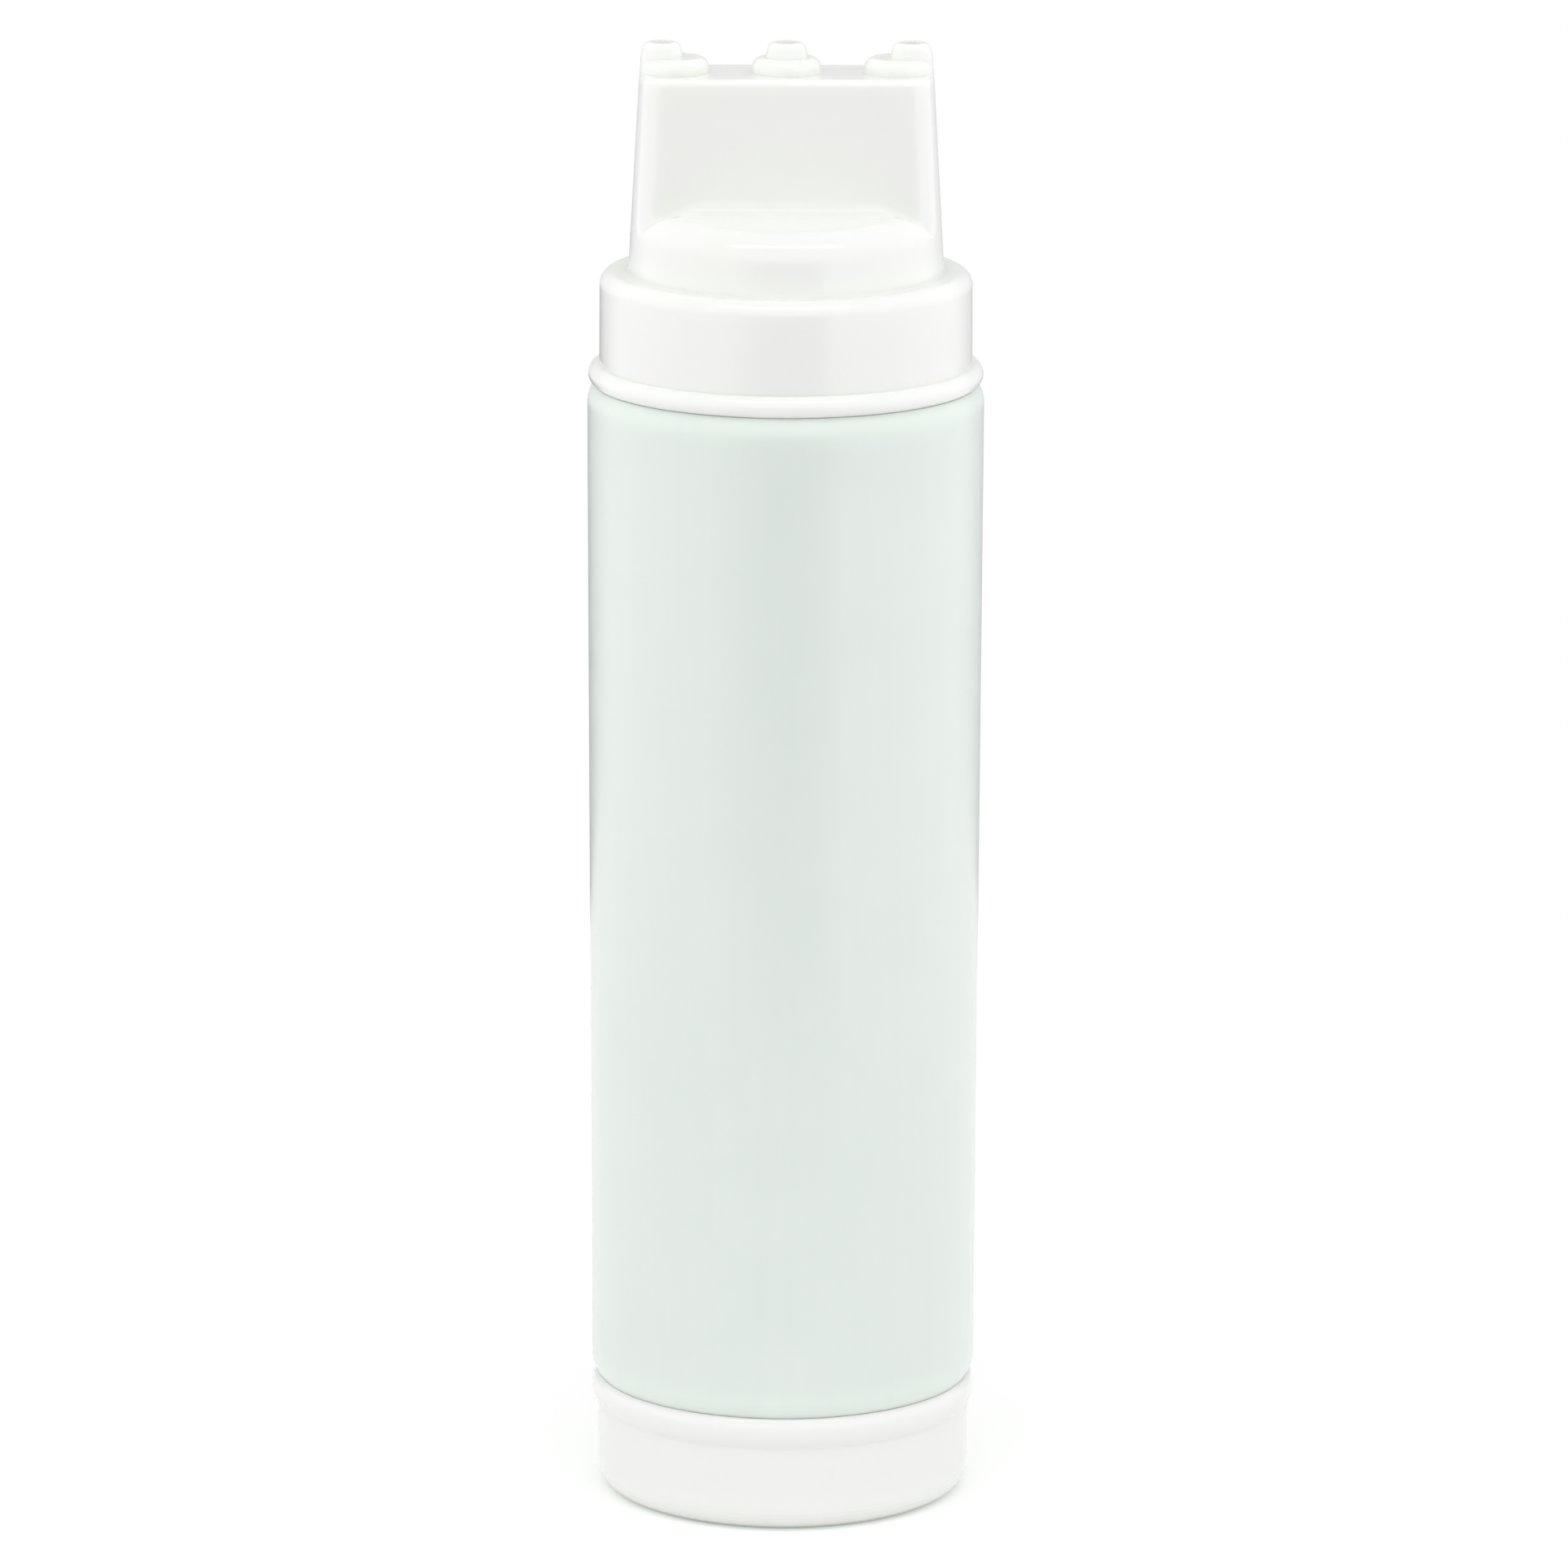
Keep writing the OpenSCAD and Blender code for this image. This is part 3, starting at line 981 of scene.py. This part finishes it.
@dataclass
class DispensingCap:
    """The upper cap: a skirt, a shelf, a hollow blade spout and three tips on bosses."""

    levels: Levels
    skirt_radius: float = 32.85 * MM
    skirt_wall: float = 1.4 * MM
    skirt_draft: float = 0.06 * MM
    bead_height: float = 3.7 * MM
    bead: float = 1.95 * MM
    bead_steps: int = 20
    bore_bevel: float = 0.5 * MM
    shelf_thickness: float = 3.1 * MM
    shelf_edge: float = 2.4 * MM
    band_radius: float = 30.9 * MM
    band_height: float = 5.4 * MM
    band_step: float = 0.6 * MM
    spout_foot_radius: float = 27.75 * MM
    spout_top_radius: float = 25.8 * MM
    spout_height: float = 35.1 * MM
    base_height: float = 11.6 * MM
    blade_foot_half: float = 10.0 * MM
    blade_top_half: float = 9.0 * MM
    spout_wall: float = 2.0 * MM
    roof: float = 3.2 * MM
    inner_corner: float = 2.6 * MM
    inner_base_edge: float = 3.0 * MM
    inner_side_edge: float = 0.9 * MM
    inner_end_edge: float = 3.0 * MM
    boss_spacing: float = 19.65 * MM
    boss_radius: float = 6.1 * MM
    boss_height: float = 2.7 * MM
    boss_edge: float = 1.7 * MM
    boss_draft: float = 0.05 * MM
    tip_spacing: float = 21.85 * MM
    tip_foot_radius: float = 3.75 * MM
    tip_top_radius: float = 3.45 * MM
    tip_edge: float = 1.3 * MM
    tip_bore: float = 2.0 * MM
    tip_skin: float = 1.3 * MM
    orifice: float = 1.5 * MM
    bore_edge: float = 0.3 * MM
    ridge_depth: float = 0.95 * MM
    ridge_from_rim: float = 10.0 * MM

    def outer_form(self) -> SpoutForm:
        """Gives the spout's outside.

        Returns:
            The form that stands on the cap's shelf.
        """
        foot = self.levels.top_seat() + self.shelf_thickness
        return SpoutForm(
            foot_height=foot, top_height=foot + self.spout_height,
            foot_radius=self.spout_foot_radius, top_radius=self.spout_top_radius,
            blade_height=foot + self.base_height,
            blade_foot_half=self.blade_foot_half, blade_top_half=self.blade_top_half)

    def inner_form(self) -> SpoutForm:
        """Gives the spout's hollow, a wall's thickness inside.

        Returns:
            The form that opens at the seal's seat.
        """
        outer = self.outer_form()
        foot = self.levels.top_seat()
        top = outer.top_height - self.roof
        return replace(
            outer, foot_height=foot, top_height=top,
            foot_radius=outer.cone(foot) - self.spout_wall,
            top_radius=outer.cone(top) - self.spout_wall,
            blade_height=outer.blade_height - self.spout_wall,
            blade_foot_half=outer.blade_foot_half - self.spout_wall,
            blade_top_half=outer.half(top) - self.spout_wall,
            corner=self.inner_corner, base_edge=self.inner_base_edge, foot_fillet=0.0,
            side_edge=self.inner_side_edge, end_edge=self.inner_end_edge)

    def skirt(self) -> Outline:
        """Draws the skirt, down its bore and up its beaded outside.

        Returns:
            The outline, from the hollow's edge at the seat to the spout's foot on the shelf.
        """
        seat = self.levels.top_seat()
        low = self.levels.top_open()
        shelf = seat + self.shelf_thickness
        bore = self.skirt_radius - self.skirt_wall
        top = self.skirt_radius - self.skirt_draft
        under = self.bead_height - self.bead
        band_end = seat - self.band_height
        line = Outline().to(self.inner_form().cone(seat), seat).to(self.band_radius, seat)
        line.to(self.band_radius, band_end + self.band_step).to(bore, band_end)
        line.to(bore, low + self.bore_bevel).to(bore + self.bore_bevel, low)
        start = -math.degrees(math.asin(under / self.bead))
        line.arc(self.skirt_radius, low + under, self.bead, start, UP, self.bead_steps)
        line.arc(top - self.shelf_edge, shelf - self.shelf_edge, self.shelf_edge, OUT, UP)
        outer = self.outer_form()
        return line.to(outer.cone(shelf) + outer.foot_fillet, shelf)

    def stub_rows(self) -> list[StubRow]:
        """Gives what stands on the spout and what is cut into it.

        Returns:
            The bosses, the tips, the tips' bores and the outlets, in the order of work.
        """
        top = self.outer_form().top_height
        boss_top = top + self.boss_height
        tip_top = self.levels.tip_top()
        below = top - self.roof - StubRow.root
        return [
            StubRow(self.boss_spacing, self.boss_radius, self.boss_radius - self.boss_draft,
                    top - StubRow.root, boss_top, self.boss_edge, Cut.ADD),
            StubRow(self.tip_spacing, self.tip_foot_radius, self.tip_top_radius,
                    boss_top - StubRow.root, tip_top, self.tip_edge, Cut.ADD),
            StubRow(self.tip_spacing, self.tip_bore, self.tip_bore,
                    below, tip_top - self.tip_skin, self.bore_edge, Cut.REMOVE),
            StubRow(self.tip_spacing, self.orifice, self.orifice,
                    below, tip_top + StubRow.root, self.bore_edge, Cut.REMOVE),
        ]

    def build(self, dresser: Dresser, ridges: ShapeTree, rows: ShapeTree) -> Object:
        """Builds and dresses the cap.

        Args:
            dresser: Gives the finish.
            ridges: The tree that winds screw ridges.
            rows: The tree that repeats a shape in a row.

        Returns:
            The finished piece.
        """
        angles = spout_angles()
        outer = self.outer_form().rows(angles)
        inner = self.inner_form().rows(angles)
        skirt = [row_at(angles, radius, height) for radius, height in self.skirt().held()]
        cap = loft("cap_with_spout", inner[::-1] + skirt[1:-1] + outer, ring=False)
        for stubs in self.stub_rows():
            stubs.work_into(cap, rows)
        start = self.levels.top_rim() - self.ridge_from_rim
        ridge = ScrewRidge(self.skirt_radius - self.skirt_wall, self.ridge_depth, start,
                           inward=True, start_angle=math.pi)
        combine(cap, ridge.make(ridges), Cut.ADD)
        dresser.dress(cap, Finish.CAP, "top_cap_body", "dispensing_cap")
        return cap


@dataclass
class RefillCap:
    """The lower cap, the bottle's foot: a cup with a rounded edge and a beaded open end."""

    levels: Levels
    radius: float = 33.3 * MM
    wall: float = 1.4 * MM
    edge: float = 4.2 * MM
    recess: float = 2.0 * MM
    recess_slope: float = 1.8 * MM
    stand_width: float = 2.0 * MM
    bead_out: float = 1.0 * MM
    bead_height: float = 5.6 * MM
    bead_top: float = 1.9 * MM
    bore_bevel: float = 0.5 * MM
    band_radius: float = 30.9 * MM
    band_over: float = 0.6 * MM
    bore_over: float = 1.5 * MM
    gate: float = 1.6 * MM
    gate_depth: float = 0.25 * MM
    ridge_depth: float = 1.4 * MM
    ridge_at_foot: float = 3.4 * MM

    def bead(self, rim: float) -> Outline:
        """Draws the outside of the bead, from the wall up to the open end.

        Args:
            rim: Height of the open end.

        Returns:
            The outline.
        """
        low = self.bead_height - self.bead_top
        crest = self.radius + self.bead_out
        line = Outline()
        for rise, rising in ((low, False), (self.bead_top, True)):
            bend = (rise ** 2 + self.bead_out ** 2) / (2 * self.bead_out)
            angle = math.degrees(math.asin(rise / bend))
            ends = (OUT, angle) if rising else (-angle, OUT)
            line.arc(crest - bend, rim - self.bead_top, bend, *ends)
        return line

    def build(self, dresser: Dresser, ridges: ShapeTree) -> Object:
        """Builds and dresses the cap.

        Args:
            dresser: Gives the finish.
            ridges: The tree that winds screw ridges.

        Returns:
            The finished piece.
        """
        floor = self.levels.foot_seat()
        foot_rim = self.levels.foot_rim()
        rim = self.levels.foot_open()
        bore = self.radius - self.wall
        stand = self.radius - self.edge
        inner = stand - self.stand_width
        line = Outline().to(self.gate, self.recess - self.gate_depth)
        line.to(self.gate + self.gate_depth, self.recess)
        line.to(inner - self.recess_slope, self.recess).to(inner, 0)
        line.arc(stand, self.edge, self.edge, BELOW, OUT).join(self.bead(rim))
        line.to(bore + self.bore_bevel, rim).to(bore, rim - self.bore_bevel)
        line.to(bore, foot_rim + self.bore_over).to(self.band_radius, foot_rim + self.band_over)
        line.to(self.band_radius, floor).to(self.gate, floor)
        cap = turned("cap_under_bottle", line, ring=False)
        ridge = ScrewRidge(bore, self.ridge_depth, foot_rim + self.ridge_at_foot, inward=True,
                           start_angle=math.pi)
        combine(cap, ridge.make(ridges), Cut.ADD)
        dresser.dress(cap, Finish.CAP, "foot_cap_body", "refill_cap")
        return cap


@dataclass
class Seal:
    """A flat sealing ring with soft edges, between a neck's rim and the seat of its cap."""

    node: str
    body: str
    name: str
    hole_radius: float = 28.4 * MM
    edge: float = 0.35 * MM

    def build(self, dresser: Dresser) -> Object:
        """Builds and dresses the ring.

        Args:
            dresser: Gives the finish.

        Returns:
            The finished piece.
        """
        low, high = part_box(self.node)
        radius = high.x
        line = Outline()
        line.arc(radius - self.edge, low.z + self.edge, self.edge, BELOW, OUT)
        line.arc(radius - self.edge, high.z - self.edge, self.edge, OUT, UP)
        line.arc(self.hole_radius + self.edge, high.z - self.edge, self.edge, UP, IN)
        line.arc(self.hole_radius + self.edge, low.z + self.edge, self.edge, IN, DOWN)
        ring = turned(self.name, line)
        dresser.dress(ring, Finish.SEAL, self.body, self.node)
        return ring


@dataclass(frozen=True)
class Softbox:
    """A soft rectangular lamp."""

    name: str
    place: tuple[float, float, float]
    aim: tuple[float, float, float]
    width: float
    height: float
    glow: float

    def build(self) -> None:
        """Hangs the lamp, with the power that gives its face a radiance of its glow."""
        lamp = bpy.data.lights.new(self.name, "AREA")
        lamp.shape = "RECTANGLE"
        lamp.size = self.width
        lamp.size_y = self.height
        lamp.energy = self.glow * self.width * self.height * math.pi
        made = bpy.data.objects.new(self.name, lamp)
        bpy.context.scene.collection.objects.link(made)
        made.location = self.place
        way = Vector(self.aim) - Vector(self.place)
        made.rotation_euler = way.to_track_quat("-Z", "Y").to_euler()


@dataclass(frozen=True)
class Gap:
    """A dark gap in the room with soft edges, each given by where it starts and where it is full.

    The angles are in degrees: across from the front, above from the horizon.
    """

    across: tuple[float, float]
    above: tuple[float, float]

    def darkness(self, tree: Tree, side: Socket, up: Socket) -> Socket:
        """Adds the gap to the room's nodes.

        Args:
            tree: The room's node tree.
            side: Angle from the front, in radians.
            up: Sine of the angle above the horizon.

        Returns:
            Darkness from 0 to 1.
        """
        wide = ramp(tree, side, *(math.radians(angle) for angle in self.across))
        low = ramp(tree, up, *(math.sin(math.radians(angle)) for angle in self.above))
        return reckon(tree, "MULTIPLY", wide, low)


@dataclass
class Studio:
    """A small white table in a white room with dark gaps beyond the table, and the camera.

    Glows are radiances and lengths are in metres, but for the lens and the sensor in millimetres.
    Pairs of angles give where a change starts and where it is full: the ceiling's up from the
    horizon, and those of the front gap's left side to the left of the front.
    """

    table_reach: float = 0.42
    table_colour: Colour = (0.84, 0.84, 0.84)
    table_fill: float = 0.23
    room_glow: float = 1.22
    ceiling_glow: float = 0.72
    ceiling: tuple[float, float] = (15.0, 65.0)
    wall_glow: float = 0.55
    wall: Gap = Gap(across=(120.0, 145.0), above=(30.0, 16.0))
    front: Gap = Gap(across=(27.5, 23.5), above=(6.0, -1.0))
    front_left: tuple[float, float] = (42.0, 9.0)
    rear: Gap = Gap(across=(122.0, 160.0), above=(-8.0, -12.0))
    rear_left: float = 0.85
    rear_right: float = 0.4
    overhead: Softbox = Softbox("overhead_box", place=(0.0, -0.55, 1.4), aim=(0.0, 0.0, 0.2),
                                width=1.5, height=0.2, glow=3.6)
    camera_place: tuple[float, float, float] = (-0.000095, -1.7561, 0.5405)
    camera_down: float = 13.194
    camera_roll: float = 0.18
    lens: float = 232.92
    sensor: float = 36.0

    def build(self) -> None:
        """Sets up the table, the room, the lamp and the camera."""
        self.table()
        self.room()
        self.overhead.build()
        self.camera()
        bpy.context.scene.view_settings.view_transform = "Standard"

    def table(self) -> None:
        """Lays the white table, which keeps the bottle's shadow and is white where none falls."""
        reach = self.table_reach
        corners = [(-reach, -reach, 0), (reach, -reach, 0), (reach, reach, 0), (-reach, reach, 0)]
        mesh = bpy.data.meshes.new("table_top")
        mesh.from_pydata(corners, [], [tuple(range(len(corners)))])
        top = bpy.data.objects.new("table_top", mesh)
        bpy.context.scene.collection.objects.link(top)
        coat = bpy.data.materials.new("white_table")
        coat.use_nodes = True
        tree = coat.node_tree
        tree.nodes.clear()
        paint = add(tree, "ShaderNodeBsdfDiffuse", {"Color": (*self.table_colour, 1)})
        ray = tree.nodes.new("ShaderNodeLightPath").outputs
        mirrored = reckon(tree, "MAXIMUM", ray["Is Glossy Ray"], ray["Is Transmission Ray"])
        seen = reckon(tree, "MAXIMUM", ray["Is Camera Ray"], mirrored)
        glow = add(tree, "ShaderNodeEmission", {
            "Color": WHITE, "Strength": reckon(tree, "MULTIPLY", seen, self.table_fill)})
        both = add(tree, "ShaderNodeAddShader", {0: paint.outputs[0], 1: glow.outputs[0]})
        add(tree, "ShaderNodeOutputMaterial", {"Surface": both.outputs[0]})
        mesh.materials.append(coat)

    def room(self) -> None:
        """Paints the room: white to the camera, and white all round but for the dark gaps."""
        world = bpy.data.worlds.new("room")
        bpy.context.scene.world = world
        world.use_nodes = True
        tree = world.node_tree
        place = tree.nodes.new("ShaderNodeTexCoord").outputs["Generated"]
        way = add(tree, "ShaderNodeSeparateXYZ", {"Vector": place})
        climb = ramp(tree, way.outputs["Z"],
                     *(math.sin(math.radians(angle)) for angle in self.ceiling))
        fall = reckon(tree, "MULTIPLY", climb, self.ceiling_glow - self.room_glow)
        glow = reckon(tree, "ADD", fall, self.room_glow)
        lit = reckon(tree, "MULTIPLY", self.beside_gaps(tree, way), glow)
        ray = tree.nodes.new("ShaderNodeLightPath")
        white = reckon(tree, "MAXIMUM", lit, ray.outputs["Is Camera Ray"])
        feed(tree, tree.nodes["Background"], {"Color": WHITE, "Strength": white})

    def beside_gaps(self, tree: Tree, way: Node) -> Socket:
        """Works out how much of the room's light the dark gaps leave in each direction.

        Args:
            tree: The room's node tree.
            way: The node that gives the direction's X, Y and Z.

        Returns:
            A share from 0, dark, to 1.
        """
        up = way.outputs["Z"]
        toward = reckon(tree, "MULTIPLY", way.outputs["Y"], -1.0)
        turn = reckon(tree, "ARCTAN2", way.outputs["X"], toward)
        side = reckon(tree, "ABSOLUTE", turn)
        front_left = ramp(tree, reckon(tree, "MULTIPLY", turn, -1.0),
                          *(math.radians(angle) for angle in self.front_left))
        front = reckon(tree, "MULTIPLY", self.front.darkness(tree, turn, up), front_left)
        right = reckon(tree, "GREATER_THAN", way.outputs["X"], 0.0)
        share = reckon(tree, "SUBTRACT", self.rear_left,
                       reckon(tree, "MULTIPLY", right, self.rear_left - self.rear_right))
        rear = reckon(tree, "MULTIPLY", self.rear.darkness(tree, side, up), share)
        wall = reckon(tree, "MULTIPLY", self.wall.darkness(tree, side, up), 1 - self.wall_glow)
        lit = reckon(tree, "SUBTRACT", 1.0, front)
        for dark in (rear, wall):
            lit = reckon(tree, "MULTIPLY", lit, reckon(tree, "SUBTRACT", 1.0, dark))
        return lit

    def camera(self) -> None:
        """Sets the camera where the photograph was taken from."""
        lens = bpy.data.cameras.new("camera")
        lens.sensor_width = self.sensor
        lens.lens = self.lens
        made = bpy.data.objects.new("camera", lens)
        bpy.context.scene.collection.objects.link(made)
        tilt = Matrix.Rotation(math.radians(90 - self.camera_down), 4, "X")
        roll = Matrix.Rotation(math.radians(self.camera_roll), 4, "Z")
        made.matrix_world = Matrix.Translation(self.camera_place) @ tilt @ roll
        bpy.context.scene.camera = made


def main() -> None:
    """Builds the bottle's pieces in order round the frame and reports each."""
    logging.basicConfig(level=logging.INFO, format="%(name)s: %(message)s")
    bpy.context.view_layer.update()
    Studio().build()
    levels = Levels()
    dresser = Dresser()
    ridges = thread_tree()
    rows = row_tree()
    pieces = [
        BottleBody(levels).build(dresser, ridges),
        DispensingCap(levels).build(dresser, ridges, rows),
        RefillCap(levels).build(dresser, ridges),
        Seal("top_seal", "top_seal_body", "upper_seal_ring").build(dresser),
        Seal("foot_seal", "foot_seal_body", "lower_seal_ring").build(dresser),
    ]
    for piece in pieces:
        log.info("%s: %d faces", piece.name, len(piece.data.polygons))


if __name__ == "__main__":
    main()
